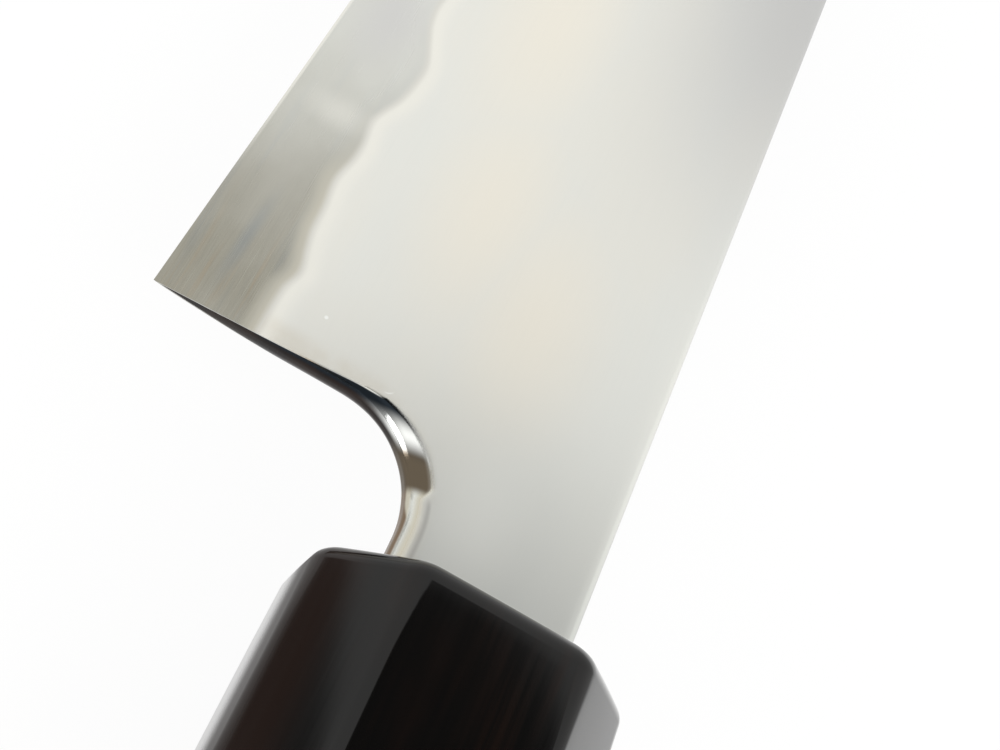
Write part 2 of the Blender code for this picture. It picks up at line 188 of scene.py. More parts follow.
def line_at(reach):
    """Height of the wavy line, on a smooth curve through its points."""
    points = LAMINATION_LINE
    if reach <= points[0][0]:
        return edge_at(reach) + points[0][1]
    i = next(i for i in range(1, len(points)) if reach <= points[i][0])
    (a, low), (b, high) = points[i - 1], points[i]
    before, after = points[max(i - 2, 0)], points[min(i + 1, len(points) - 1)]
    slope_a = (high - before[1]) / (b - before[0])
    slope_b = (after[1] - low) / (after[0] - a)
    t = (reach - a) / (b - a)
    smooth = t * t * (3 - 2 * t)
    bend = t * (1 - t) * ((1 - t) * slope_a - t * slope_b) * (b - a)
    return edge_at(reach) + low + (high - low) * smooth + bend


def core_depth(reach):
    slope = (CORE_THICKNESS - CORE_TIP_THICKNESS) / 2 / BLADE_LENGTH
    return CORE_THICKNESS / 2 + (HEEL_SETBACK - reach) * slope


print("line stands", round(1000 * (line_at(0.04) - edge_at(0.04)), 2), "mm over the edge at 40 mm")

# %% [markdown]
# ## Rolled corners
# The hollow at the heel and the spine are both rolled over with a polishing stick: a flat strip
# in the middle of the steel, then a quarter round that runs out in the face. One class serves
# both. A turn below zero lies on the flat strip, and above zero it is the angle round the
# corner, so even steps of it give evenly spaced points.

# %% A rolled corner, from the middle plane out to the face
HALVINGS = 40


class Corner:
    """A flat strip and a quarter round across the steel, at one place of its outline."""

    def __init__(self, foot, inward, start, radius, share=1.0):
        self.foot, self.inward = Vector(foot), Vector(inward)
        self.start, self.radius, self.share = start, radius, share
        self.middle = -start / radius

    def point(self, turn):
        grow = 0.0 if turn < 0 else self.share * self.radius * (1 - math.cos(turn))
        depth = self.start + self.radius * (turn if turn < 0 else math.sin(turn))
        place = self.foot + self.inward * grow
        return Vector((place.x, place.y, depth))

    def turn_at(self, depth):
        offset = (depth - self.start) / self.radius
        return offset if offset < 0 else math.asin(min(offset, 1.0))

    def meets_face(self):
        """Where the corner runs out in the ground face, found by halving the interval."""
        low, high = self.middle, math.pi / 2
        for _ in range(HALVINGS):
            half = (low + high) / 2
            x, y, depth = self.point(half)
            if depth < face_depth(-x, y):
                low = half
            else:
                high = half
        return low


# %% [markdown]
# The hollow at the heel is a straight wall, a quarter circle and a flat below the neck. Its
# corner is hardly broken at the heel, where the blade is thin. It grows where the wall ends,
# bulges along the quarter circle and falls back to an even roll just before the neck.

# %% The outline of the hollow
CHOIL_RADIUS = 0.0079
NECK_DROP = 0.0070
NECK_INSIDE = 0.0060
NOSE_RADIUS = 0.00125
NOSE_START = 0.00010
WALL_ROUNDING = 0.00045
WALL_GROWTH = 0.00036
WALL_GROWING = 0.0080
NOSE_GROWTH = 1.7
NOSE_BULGE = 0.62
BULGE_RISE = 0.7
BULGE_END = 0.80
BULGE_FALL = 0.08
SPINE_EASING = 0.0006
TANG_HEIGHT = 0.0084
TANG_END_HEIGHT = 0.0050
THIN_EASING = 0.7
LOW_EASING = 0.2


def smoothstep(value):
    value = min(max(value, 0.0), 1.0)
    return value * value * (3 - 2 * value)


def flush_start(x, y):
    """The flat strip's half width that lets the quarter round end level with the face."""
    return max(NOSE_START, face_depth(-x, y) - NOSE_RADIUS)


def neck_corner(x):
    start = flush_start(x, -NECK_DROP + NOSE_RADIUS)
    return Corner((x, -NECK_DROP), (0.0, 1.0), start, NOSE_RADIUS)


def wall_share(y):
    """The wall's rounding as a share of the neck's, growing towards the quarter circle."""
    grown = smoothstep(1 + (y + NECK_DROP + CHOIL_RADIUS) / WALL_GROWING)
    return (WALL_ROUNDING + WALL_GROWTH * grown) / NOSE_RADIUS


def arc_corner(share):
    """From the heel's wall, share 0, round to the neck, share 1."""
    angle = math.pi / 2 * share
    least = wall_share(-NECK_DROP - CHOIL_RADIUS)
    inward = (-math.cos(angle), math.sin(angle))
    centre = Vector((-HEEL_SETBACK + CHOIL_RADIUS, -NECK_DROP - CHOIL_RADIUS))
    foot = centre + CHOIL_RADIUS * Vector(inward)
    grown = least + (1 - least) * smoothstep(NOSE_GROWTH * share)
    bulge = smoothstep(share / BULGE_RISE) * smoothstep((BULGE_END - share) / BULGE_FALL)
    grown += NOSE_BULGE * bulge
    end = foot + grown * NOSE_RADIUS * Vector(inward)
    return Corner(foot, inward, flush_start(end.x, end.y), NOSE_RADIUS, grown)


def wall_corner(y):
    return Corner((-HEEL_SETBACK, y), (-1.0, 0.0), NOSE_START, NOSE_RADIUS, wall_share(y))


def spine_easing(reach):
    low_limit = LOW_EASING * (spine_at(reach) - edge_at(reach))
    return min(SPINE_EASING, THIN_EASING * spine_half_thickness(reach), low_limit)


def spine_corner(reach):
    easing = spine_easing(reach)
    crown = face_depth(reach, spine_at(reach) - easing)
    return Corner((-reach, spine_at(reach)), (0.0, -1.0), crown - easing, easing)


def tang_corner(x, side):
    share = (x - NECK_INSIDE) / (TANG_LENGTH - NECK_INSIDE)
    half = lerp(TANG_HEIGHT, TANG_END_HEIGHT, share) / 2
    return Corner((x, side * half), (0.0, -float(side)), NOSE_START, NOSE_RADIUS, 0.0)


print("the neck's corner turns", round(math.degrees(neck_corner(0.0).meets_face())), "degrees")

# %% [markdown]
# ## One section after another
# The blade is a loft: closed rings of points, each joined to the next. Rings straight across
# the blade would cut the hollow's curve at a slant and leave jagged corners. So the rings fan
# out: each starts square on the outline, round the hollow and along the edge, crosses the wavy
# line and ends at the spine. Corners and borders then lie exactly on rows of the mesh.

# %% Where each ring stands
TANG_RINGS = 8
NECK_RINGS = 24
ARC_RINGS = 80
WALL_RINGS = 34
HEEL_RINGS = 44
NEAR_RINGS = 230
FAR_RINGS = 230
NEAR_REACH = 0.085
FAN_AT_SPINE = 0.030
FAN_AT_LINE = 0.006
TANG_STEP = 0.00002
LEAST_IRON = 0.0004
LINE_ROUNDS = 4

# A fanned section: its corners at the outline and the spine, and its reach at line and edge.
Ring = namedtuple("Ring", "lower upper line edge_reach", defaults=(None, None))


def spread(low, high, count):
    """Even steps from one number or point to another."""
    return [low + (high - low) * i / count for i in range(count + 1)]


def fan(reach, amount):
    """How far a ring leans forward, which dies out evenly to the tip."""
    return reach + amount * (1 - (reach - HEEL_SETBACK) / BLADE_LENGTH)


def wall_border(y):
    """Reach at which the corner of the hollow's wall meets the face."""
    corner = wall_corner(y)
    return -corner.point(corner.meets_face()).x


def line_start():
    """Height at which the wavy line meets that border."""
    height = line_at(HEEL_SETBACK)
    for _ in range(LINE_ROUNDS):
        height = line_at(wall_border(height))
    return height


def list_rings():
    arc_x = -HEEL_SETBACK + CHOIL_RADIUS
    tang = spread(TANG_LENGTH, NECK_INSIDE + TANG_STEP, TANG_RINGS)
    neck = spread(NECK_INSIDE, arc_x, NECK_RINGS)
    rings = [Ring(tang_corner(x, -1), tang_corner(x, 1)) for x in tang]
    rings += [Ring(neck_corner(x), spine_corner(-x)) for x in neck]
    corner_y, cut_y, heel_y = -NECK_DROP - CHOIL_RADIUS, line_start(), bevel_top(HEEL_SETBACK)
    arc_length = math.pi / 2 * CHOIL_RADIUS
    whole = arc_length + corner_y - heel_y
    last = fan(HEEL_SETBACK, FAN_AT_SPINE)

    def upper(done):
        return spine_corner(-arc_x + (last + arc_x) * done / whole)

    def wall_ring(y, line=None):
        return Ring(wall_corner(y), upper(arc_length + corner_y - y), line)

    rings += [Ring(arc_corner(1 - i), upper(arc_length * i)) for i in spread(0, 1, ARC_RINGS)[1:]]
    rings += [wall_ring(y) for y in spread(corner_y, cut_y, WALL_RINGS)[1:]]
    for y in spread(cut_y, heel_y, HEEL_RINGS):
        ahead = FAN_AT_LINE * (cut_y - y) / (cut_y - heel_y)
        rings.append(wall_ring(y, wall_border(y) + ahead))
    reaches = spread(HEEL_SETBACK, NEAR_REACH, NEAR_RINGS)
    for reach in reaches + spread(NEAR_REACH, TIP_REACH, FAR_RINGS)[1:]:
        corner = spine_corner(fan(reach, FAN_AT_SPINE))
        rings.append(Ring(None, corner, fan(reach, FAN_AT_LINE), reach))
    return rings


RINGS = list_rings()
print(len(RINGS), "rings along the blade")

# %% [markdown]
# Now each ring becomes runs of points on the near side: the lower corner in the core and in the
# iron, the core's face, the iron's face, and the corner at the spine in two parts. Both layers
# share the runs along their border, so no gap can open between them.

# %% The runs of points in one ring
CORNER_STEPS = 6
OUTER_STEPS = 12
CORE_FACE_STEPS = 18
IRON_FACE_STEPS = 26
CROWN_STEPS = 8
FACE_BIAS = 1.25


def on_face(place):
    return Vector((place.x, place.y, face_depth(-place.x, place.y)))


def face_run(start, end, count, bias=1.0):
    """Points of the ground face over a straight line between two places on it."""
    return [on_face(lerp(start, end, (i / count) ** bias)) for i in range(count + 1)]


def corner_runs(corner, end, outer):
    """A corner's points inside the core, and those beyond it."""
    cut = min(corner.turn_at(core_depth(-corner.foot.x)), end)
    runs = spread(corner.middle, cut, CORNER_STEPS), spread(cut, end, outer)
    return [[corner.point(turn) for turn in run] for run in runs]


def ring_runs(ring):
    flat_top = ring.upper.share == 0.0
    end = ring.upper.meets_face() if flat_top else math.pi / 2
    top_in, top_out = (run[::-1] for run in corner_runs(ring.upper, end, CROWN_STEPS))
    crown = top_out[0] = on_face(top_out[0])
    if ring.edge_reach is None:
        low_in, low_out = corner_runs(ring.lower, ring.lower.meets_face(), OUTER_STEPS)
        border = low_out[-1] = on_face(low_out[-1])
    else:
        reach = ring.edge_reach
        apex = Vector((-reach, edge_at(reach), 0.0))
        border = on_face(Vector((-reach, bevel_top(reach), 0.0)))
        low_in = spread(apex, border, CORNER_STEPS)
        low_out = [border] * (OUTER_STEPS + 1)
    runs = {"low_in": low_in, "low_out": low_out, "top_out": top_out, "top_in": top_in}
    if ring.line is None:
        runs["iron_face"] = face_run(border, crown, IRON_FACE_STEPS, FACE_BIAS)
        return runs
    line = on_face(Vector((-ring.line, min(line_at(min(ring.line, TIP_REACH)), crown.y), 0.0)))
    runs["iron"] = line.y < crown.y - LEAST_IRON
    if not runs["iron"]:
        line = crown
    runs["core_face"] = face_run(border, line, CORE_FACE_STEPS)
    runs["iron_face"] = face_run(line, crown, IRON_FACE_STEPS, FACE_BIAS)
    runs["line"] = line
    return runs


RUNS = [ring_runs(ring) for ring in RINGS]
print("iron covers", sum(runs.get("iron", True) for runs in RUNS), "of the rings")

# %% [markdown]
# A ring of the core goes up the near side and, mirrored, down the far side. Above the wavy line
# its face is the plane against the iron. A ring of the iron goes up the outside, over the
# spine's corner and back down along that plane. Each vertex also notes two things for its
# finish: how far over the wavy line it lies, and how deep in the polished hollow.

# %% Rings of the core and of the iron
WALL_RIM = 0.00014
NECK_RIM = 0.00055
RIM_START = -0.0120
RIM_LENGTH = 0.0022


def line_foot(line):
    """The point on the core's plane under a point of the wavy line."""
    return Vector((line.x, line.y, core_depth(-line.x)))


def polish_of(points, corner):
    """1 on the hollow's wall, clearing to 0 near its border with the face, softly at the neck."""
    rim = lerp(WALL_RIM, NECK_RIM, smoothstep((corner.foot.x - RIM_START) / RIM_LENGTH))
    return [smoothstep((point - points[-1]).length / rim) for point in points]


def core_half(ring, runs):
    low_in, low_out, top = runs["low_in"], runs["low_out"], runs["top_out"]
    shine = []
    if ring.edge_reach is None:
        shine = polish_of(low_in + low_out[1:], ring.lower)
    if ring.line is None:
        shine = shine[:len(low_in)]
        shine += [shine[-1]] * (OUTER_STEPS + CORE_FACE_STEPS + CROWN_STEPS)
        foot = low_in[-1]
        outer = [foot] * (OUTER_STEPS + CORE_FACE_STEPS + 1)
    else:
        foot = line_foot(runs["line"])
        outer = low_out[1:] + runs["core_face"][1:] + [runs["line"]]
    inner = spread(foot, top[-1], CROWN_STEPS) if runs.get("iron", True) else top
    points = low_in + outer + inner + runs["top_in"][1:]
    return points, shine + [0.0] * (len(points) - len(shine))


def core_ring(ring, runs):
    near, shine = core_half(ring, runs)
    far = [Vector((p.x, p.y, -p.z)) for p in reversed(near)]
    return near + far, shine + shine[::-1]


def iron_ring(ring, runs):
    shine = []
    if ring.line is None:
        first = runs["low_out"]
        shine = polish_of(first, ring.lower)
    elif runs["iron"]:
        first = spread(line_foot(runs["line"]), runs["line"], OUTER_STEPS)
    else:
        first = [runs["line"]] * (OUTER_STEPS + 1)
    top = runs["top_out"]
    back = spread(top[-1], first[0], CROWN_STEPS) if runs.get("iron", True) else top[::-1]
    points = first + runs["iron_face"][1:] + top[1:] + back[1:-1]
    return points, shine + [0.0] * (len(points) - len(shine))


print(len(core_ring(RINGS[0], RUNS[0])[0]), "points in a ring of the core")

# %% [markdown]
# Where a row has no width, points lie on top of each other and are merged. Faces are shaded
# smooth except where two of them meet at a clear angle. A Weighted Normal modifier lets the
# broad faces decide the shading, which keeps the flats flat next to their corners.

# %% From rings to a finished piece
MERGE_DISTANCE = 2e-7
CREASE_DEG = 28
BROAD_FACE_WEIGHT = 80


def loft(name, rings, notes=None, capped=(True, True)):
    """Joins rings of equally many points; notes gives each vertex its named values."""
    bm = bmesh.new()
    layers = {key: bm.verts.layers.float.new(key) for key in (notes or {})}
    rows = [[bm.verts.new(AXIS + point) for point in ring] for ring in rings]
    for key, layer in layers.items():
        for row, values in zip(rows, notes[key]):
            for vert, value in zip(row, values):
                vert[layer] = value
    count = len(rings[0])
    for row, following in zip(rows, rows[1:]):
        for i in range(count):
            j = (i + 1) % count
            bm.faces.new((row[i], row[j], following[j], following[i]))
    for row, cap in zip((rows[0], rows[-1]), capped):
        if cap:
            bm.faces.new(row)
    bmesh.ops.remove_doubles(bm, verts=bm.verts, dist=MERGE_DISTANCE)
    bmesh.ops.dissolve_degenerate(bm, edges=bm.edges, dist=MERGE_DISTANCE)
    bmesh.ops.recalc_face_normals(bm, faces=bm.faces)
    if bm.calc_volume(signed=True) < 0:
        bmesh.ops.reverse_faces(bm, faces=bm.faces)
    mesh = bpy.data.meshes.new(name)
    bm.to_mesh(mesh)
    bm.free()
    return mesh


def piece_from(mesh, node, weighted=True):
    """Smooths a mesh and puts it in the scene in place of a node of the plain model."""
    mesh.shade_smooth()
    mesh.set_sharp_from_angle(angle=math.radians(CREASE_DEG))
    piece = put(mesh.name, mesh)
    if weighted:
        modifier = piece.modifiers.new("broad_faces_lead", "WEIGHTED_NORMAL")
        modifier.keep_sharp = True
        modifier.weight = BROAD_FACE_WEIGHT
    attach(piece, "root")
    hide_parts(node)
    print(mesh.name, "has", len(mesh.polygons), "faces")
    return piece


# %% [markdown]
# The three layers are forged from the same rings. The iron ends near the tip, where the core
# reaches the spine, and the right layer is the left one mirrored.


# %% Forge the three layers
def over_line(points):
    """Millimetres over the wavy line, for the finish."""
    return [1000 * (p.y - line_at(min(max(-p.x, HEEL_SETBACK), TIP_REACH))) for p in points]


def forge(name, ring_of, side, rings):
    made = [ring_of(ring, runs) for ring, runs in rings]
    points = [[Vector((p.x, p.y, side * p.z)) for p in ring] for ring, _ in made]
    notes = {
        "over_line": [over_line(ring) for ring in points],
        "polish": [shine for _, shine in made],
    }
    return loft(name, points, notes, (True, ring_of is core_ring))


sections = list(zip(RINGS, RUNS))
clad = sections[:sum(runs.get("iron", True) for runs in RUNS) + 1]
core = piece_from(forge("blade_core", core_ring, 1, sections), "core_steel")
left_iron = piece_from(forge("left_iron", iron_ring, 1, clad), "cladding_left")
right_iron = piece_from(forge("right_iron", iron_ring, -1, clad), "cladding_right")

# %% [markdown]
# ## Octagons of horn and wood
# Ferrule and handle are glued together first and then planed as one eight-sided bar, which
# grows a little to the butt. Buffing rounds its ridges, most of all at both ends, and domes its
# flats by a few hundredths of a millimetre.

# %% An eight-sided ring
HANDLE_LENGTH = 0.145
FERRULE_LENGTH = 0.028
FERRULE_SIZE = (0.0240, 0.0206)
FERRULE_FLATS = (0.0128, 0.0086)
BUTT_SIZE = (0.0258, 0.0222)
BUTT_FLATS = (0.0138, 0.0092)
RIDGE_RADIUS = 0.0014
MELTED_RIDGE = 0.0024
MELTING_LENGTH = 0.0075
DOMING = 0.00004
RIDGE_STEPS = 6
FLAT_STEPS = 10


def octagon_corners(share):
    """The eight corners as (y, z), a share of the way from the ferrule's front to the butt."""
    tall, thick = (lerp(a, b, share) / 2 - DOMING for a, b in zip(FERRULE_SIZE, BUTT_SIZE))
    side, edge = (lerp(a, b, share) / 2 for a, b in zip(FERRULE_FLATS, BUTT_FLATS))
    half = [(side, thick), (tall, edge), (tall, -edge), (side, -thick)]
    return [Vector(point) for point in half] + [-Vector(point) for point in half]


def ridge_radius(x):
    """A ridge melts away towards both ends of the handle, where the buff runs over."""
    to_end = min(x, HANDLE_LENGTH - x) / MELTING_LENGTH
    return lerp(MELTED_RIDGE, RIDGE_RADIUS, smoothstep(to_end))


def octagon_ring(x, size=1.0):
    corners = octagon_corners(x / HANDLE_LENGTH)
    radius = ridge_radius(x)
    outline = []
    for i, corner in enumerate(corners):
        following = corners[(i + 1) % len(corners)]
        to_last = (corners[i - 1] - corner).normalized()
        to_next = (following - corner).normalized()
        half_angle = to_last.angle(to_next) / 2
        setback = radius / math.tan(half_angle)
        centre = corner + (to_last + to_next).normalized() * radius / math.sin(half_angle)
        first = (corner + to_last * setback - centre).normalized()
        last = (corner + to_next * setback - centre).normalized()
        for t in spread(0, 1, RIDGE_STEPS):
            outline.append(centre + first.slerp(last, t) * radius)
        start, end = outline[-1], following - to_next * setback
        out = Vector((to_next.y, -to_next.x))
        if out.dot(start) < 0:
            out = -out
        for t in spread(0, 1, FLAT_STEPS)[1:-1]:
            outline.append(lerp(start, end, t) + out * DOMING * 4 * t * (1 - t))
    return [Vector((x, size * y, size * z)) for y, z in outline]


print(len(octagon_ring(0.0)), "points round the handle")

# %% [markdown]
# The ends are rounded by shrinking the ring along a quarter circle. The bore for the dowel and
# the slot for the neck are cut with Booleans. The surfaces that show are flat there, so the cut
# leaves no marks on them.

# %% Turn the ferrule and the handle
FRONT_ROUNDING = 0.0016
BUTT_ROUNDING = 0.0014
JOINT_EASING = 0.00008
ROUNDING_STEPS = 14
BODY_STEPS = 26
FRONT_WALL = 0.0100
DOWEL_DIAMETER = 0.0139
DOWEL_END = 0.0032
BEDDING_WALL = 0.0005
GLUE_GAP = 0.0003
BORE_SIDES = 64
OVERRUN = 0.004


def rounded_end(x, radius, inward):
    """Places along x and sizes, from the end face to the full size; inward is 1 or -1."""
    rings = []
    apothem = min(FERRULE_SIZE) / 2
    for angle in spread(0, math.pi / 2, ROUNDING_STEPS):
        along = radius * (1 - math.cos(angle))
        rings.append((x + inward * along, 1 - radius * (1 - math.sin(angle)) / apothem))
    return rings


def bar_mesh(name, start, end, front, back):
    ends = rounded_end(start, front, 1) + rounded_end(end, back, -1)[::-1]
    body = [(x, 1.0) for x in spread(start + front, end - back, BODY_STEPS)[1:-1]]
    places = sorted(ends + body)
    return loft(name, [octagon_ring(x, size) for x, size in places])


def rod(name, diameter, start, end):
    turns, radius = spread(0, 2 * math.pi, BORE_SIDES)[:-1], diameter / 2
    circle = [(radius * math.cos(turn), radius * math.sin(turn)) for turn in turns]
    return loft(name, [[Vector((x, y, z)) for y, z in circle] for x in (start, end)])


def cut(mesh, tools):
    """The mesh with tools subtracted, as a new mesh of the same name."""
    name = mesh.name
    mesh.name = name + "_blank"
    body = put("to_cut", mesh)
    helpers = [put(tool.name, tool) for tool in tools]
    for helper in helpers:
        modifier = body.modifiers.new(helper.name, "BOOLEAN")
        modifier.object = helper
        modifier.solver = "EXACT"
    graph = bpy.context.evaluated_depsgraph_get()
    made = bpy.data.meshes.new_from_object(body.evaluated_get(graph))
    made.name = name
    for helper in [body, *helpers]:
        bpy.data.objects.remove(helper, do_unlink=True)
    return made


def neck_outline(x, margin):
    """The neck's section at x, as a ring that stands off it by a margin."""
    place = min(x, NECK_INSIDE)
    runs = ring_runs(Ring(neck_corner(place), spine_corner(-place)))
    near = list(runs["low_in"])
    for part in ("low_out", "iron_face", "top_out", "top_in"):
        near += runs[part][1:]
    whole = [(p.y, p.z) for p in near] + [(p.y, -p.z) for p in reversed(near[1:-1])]
    moved = []
    for i, (y, z) in enumerate(whole):
        before, after = Vector(whole[i - 1]), Vector(whole[(i + 1) % len(whole)])
        along = (after - before).normalized()
        moved.append(Vector((x, y - along.y * margin, z + along.x * margin)))
    return moved


BORE = DOWEL_DIAMETER + 2 * GLUE_GAP
SLOT_MARGIN = 0.0006
slot = loft("mouth_slot", [neck_outline(x, SLOT_MARGIN) for x in (-OVERRUN, FRONT_WALL + OVERRUN)])
bore = rod("ferrule_bore", BORE, FRONT_WALL, FERRULE_LENGTH + OVERRUN)
blank = bar_mesh("horn_ferrule", 0.0, FERRULE_LENGTH, FRONT_ROUNDING, JOINT_EASING)
ferrule = piece_from(cut(blank, [bore, slot]), "ferrule")

bore_end = TANG_LENGTH + BEDDING_WALL + 3 * GLUE_GAP + DOWEL_END
bore = rod("handle_bore", BORE, FERRULE_LENGTH - OVERRUN, bore_end)
blank = bar_mesh("wooden_handle", FERRULE_LENGTH, HANDLE_LENGTH, JOINT_EASING, BUTT_ROUNDING)
handle = piece_from(cut(blank, [bore]), "handle")

# %% [markdown]
# Where the neck enters the horn, a black filler closes the slot. It was pressed in soft and
# wiped off, so its front is a shallow trough between steel and horn.

# %% Fill the mouth
SEAL_DEPTH = 0.0056
SEAL_CLEARANCE = 0.00002
TROUGH = 0.00018
TROUGH_STEPS = 6


def seal_rings():
    rings = [neck_outline(SEAL_DEPTH, SEAL_CLEARANCE)]
    for t in spread(0, 1, TROUGH_STEPS):
        margin = lerp(SEAL_CLEARANCE, SLOT_MARGIN - SEAL_CLEARANCE, t)
        sunk = 4 * TROUGH * t * (1 - t)
        rings.append([Vector((sunk, p.y, p.z)) for p in neck_outline(0.0, margin)])
    rings.append(neck_outline(SEAL_DEPTH, SLOT_MARGIN - SEAL_CLEARANCE))
    return rings + rings[:1]


seal_mesh = loft("mouth_filler", seal_rings(), capped=(False, False))
seal = piece_from(seal_mesh, "mouth_seal", weighted=False)

# %% [markdown]
# ## Finishes
# A finish is a network of nodes. Written with Python's own operators it reads like a formula, so
# one small class wraps a socket and adds a Math node for each sum or product. Any other node
# comes from one function that takes the node's type, its settings and what goes in its sockets.


# %% Shader maths as Python
class Value:
    """A socket that can be computed with."""

    def __init__(self, tree, socket):
        self.tree = tree
        self.socket = socket

    def maths(self, operation, *others):
        sockets = dict(enumerate((self, *others)))
        return add(self.tree, "Math", {"operation": operation}, sockets)

    def __add__(self, other):
        return self.maths("ADD", other)

    def __sub__(self, other):
        return self.maths("SUBTRACT", other)

    def __rsub__(self, other):
        return self.maths("MULTIPLY_ADD", -1.0, other)

    def __mul__(self, other):
        return self.maths("MULTIPLY", other)

    def __truediv__(self, other):
        return self.maths("DIVIDE", other)

    def __pow__(self, other):
        return self.maths("POWER", other)

    __radd__ = __add__
    __rmul__ = __mul__

    def at_least(self, low):
        return self.maths("MAXIMUM", low)

    def step(self, low, high):
        """0 below low, 1 above high and smooth between; high may be the smaller one."""
        settings = {"interpolation_type": "SMOOTHSTEP"}
        sockets = {0: self, 1: low, 2: high, 3: 0.0, 4: 1.0}
        if high < low:
            sockets.update({1: high, 2: low, 3: 1.0, 4: 0.0})
        return add(self.tree, "MapRange", settings, sockets)

    def between(self, low, high):
        """Rises from 0 at low to 1 half way and falls to 0 again at high."""
        middle = (low + high) / 2
        return self.step(low, middle) * self.step(high, middle)

    def blend(self, a, b):
        """A number between two: a where this is 0 and b where it is 1."""
        return a * (1 - self) + b * self


def feed(tree, socket, value):
    """Links a Value to a socket, or sets the socket to a plain value."""
    if isinstance(value, Value):
        tree.links.new(value.socket, socket)
    else:
        socket.default_value = value


def add(tree, kind, settings=None, sockets=None, output=0):
    """Adds a node and returns an output as a Value, where it has one."""
    node = tree.nodes.new("ShaderNode" + kind)
    for name, setting in (settings or {}).items():
        setattr(node, name, setting)
    for name, value in (sockets or {}).items():
        feed(tree, node.inputs[name], value)
    return Value(tree, node.outputs[output]) if node.outputs else None


# %% [markdown]
# Patterns are laid out in millimetres along the blade, up it and through it. A noise that is
# stretched along the blade looks like the marks of a polishing stone, and a broad one like the
# clouds that a stone leaves on soft iron.

# %% Places on the knife, and stretched noise
MM = 1000.0


class Finish:
    """A new material, with places on the knife in millimetres and the shader's sockets."""

    def __init__(self, name):
        self.material = bpy.data.materials.new(name)
        self.material.use_nodes = True
        self.tree = self.material.node_tree
        self.shader = self.tree.nodes["Principled BSDF"]
        place = add(self.tree, "TexCoord", output="Object")
        parts = [add(self.tree, "SeparateXYZ", None, {0: place}, axis) for axis in range(3)]
        self.x, self.height, self.depth = ((part - start) * MM for part, start in zip(parts, AXIS))
        self.reach = self.x * -1.0

    def from_spot(self, reach, height, along=1.0, across=1.0):
        """Distance in the blade's plane from a spot, in millimetres or in other units."""
        ahead = (self.reach - reach) / along
        above = (self.height - height) / across
        return (ahead * ahead + above * above) ** 0.5

    def patch(self, *oval):
        """A soft oval: 1 at a spot of the blade, 0 from a half length and a half height on."""
        return self.from_spot(*oval).step(1.0, 0.0)

    def from_hollow(self):
        """Distance from the hollow's outline."""
        ahead = (self.reach - (HEEL_SETBACK - CHOIL_RADIUS) * MM).at_least(0.0)
        above = (self.height + (NECK_DROP + CHOIL_RADIUS) * MM).at_least(0.0)
        return (ahead * ahead + above * above) ** 0.5 - CHOIL_RADIUS * MM

    def noise(self, along, across, detail=3.0, roughness=0.5, shift=0.0):
        """Noise from about 0 to 1 with features of so many millimetres."""
        sockets = {0: self.x / along + shift, 1: self.height / across, 2: self.depth / across}
        where = add(self.tree, "CombineXYZ", None, sockets)
        sockets = {"Vector": where, "Scale": 1.0, "Detail": detail, "Roughness": roughness}
        return add(self.tree, "TexNoise", None, sockets)

    def note(self, name):
        """A value that the mesh carries on its vertices."""
        return add(self.tree, "Attribute", {"attribute_name": name}, None, "Fac")

    def mix(self, factor, a, b):
        """A colour between two, each a Value or three numbers."""
        a, b = (c if isinstance(c, Value) else (*c, 1.0) for c in (a, b))
        sockets = {0: factor, 6: a, 7: b}
        return add(self.tree, "Mix", {"data_type": "RGBA"}, sockets, 2)

    def bump(self, height, strength, distance):
        sockets = {"Height": height, "Strength": strength, "Distance": distance}
        return add(self.tree, "Bump", None, sockets)

    def set(self, **sockets):
        for name, value in sockets.items():
            feed(self.tree, self.shader.inputs[name.replace("_", " ")], value)

    def onto(self, *pieces):
        for piece in pieces:
            piece.data.materials.clear()
            piece.data.materials.append(self.material)
        print(self.material.name, "has", len(self.tree.nodes), "nodes")


# %% [markdown]
# ### The polished hollow
# The hollow is polished after the faces, with a stick and fine powder, into a mirror. What it
# reflects is painted into its colour: a painted dark reflection, blue-grey beside the face and
# with reddish streaks further in. Where it turns below the neck a painted glint joins the small
# lamp's highlight, and a painted brown reflection ends in a clear step. Its border with the face
# is a painted highlight line towards the heel and a painted olive reflection towards the neck.
# Past that the neck is only brushed, and its painted reflection is brown low down, then olive,
# with a painted pale highlight streak. A pair of numbers says where a look begins and where it
# is full, or gone again, in millimetres.

# %% Painted reflection in the hollow
# Painted reflections: what the hollow's mirror reflects, painted dark, brown, blue-grey and
# reddish.
PAINTED_DARK_REFLECTION = (0.014, 0.0115, 0.0115)
PAINTED_BROWN_REFLECTION = (0.120, 0.096, 0.068)
PAINTED_BLUE_REFLECTION = (0.021, 0.027, 0.034)
PAINTED_REDDISH_REFLECTION = (0.027, 0.018, 0.015)
# Painted glint: near white, for painted highlights in the hollow and on the iron.
PAINTED_GLINT = (0.95, 0.96, 0.94)
# The neck's painted reflection: brown low down, olive, and a painted pale highlight.
PAINTED_NECK_BROWN = (0.20, 0.14, 0.09)
PAINTED_NECK_OLIVE = (0.55, 0.52, 0.43)
PAINTED_NECK_HIGHLIGHT = (0.67, 0.68, 0.64)
BESIDE_FACE = (0.45, 0.85)
BROWN_FROM = (-11.2, -9.4)
GLINT_ALONG = (-12.3, -9.8)
GLINT_DEPTH = (0.20, 0.85)
RIM_OLIVE_FROM = (-10.8, -9.4)
BORDER_GLINT_TO = (-9.2, -10.2)
NECK_STEP = (-8.0, -7.2)
BROWN_WIDENS = (-6.8, -4.8)
BROWN_EDGE = (0.30, 0.65)
PALE_STREAK = (0.80, 1.45)
MIRROR_ROUGHNESS = 0.10
BRUSHED_ROUGHNESS = 0.26


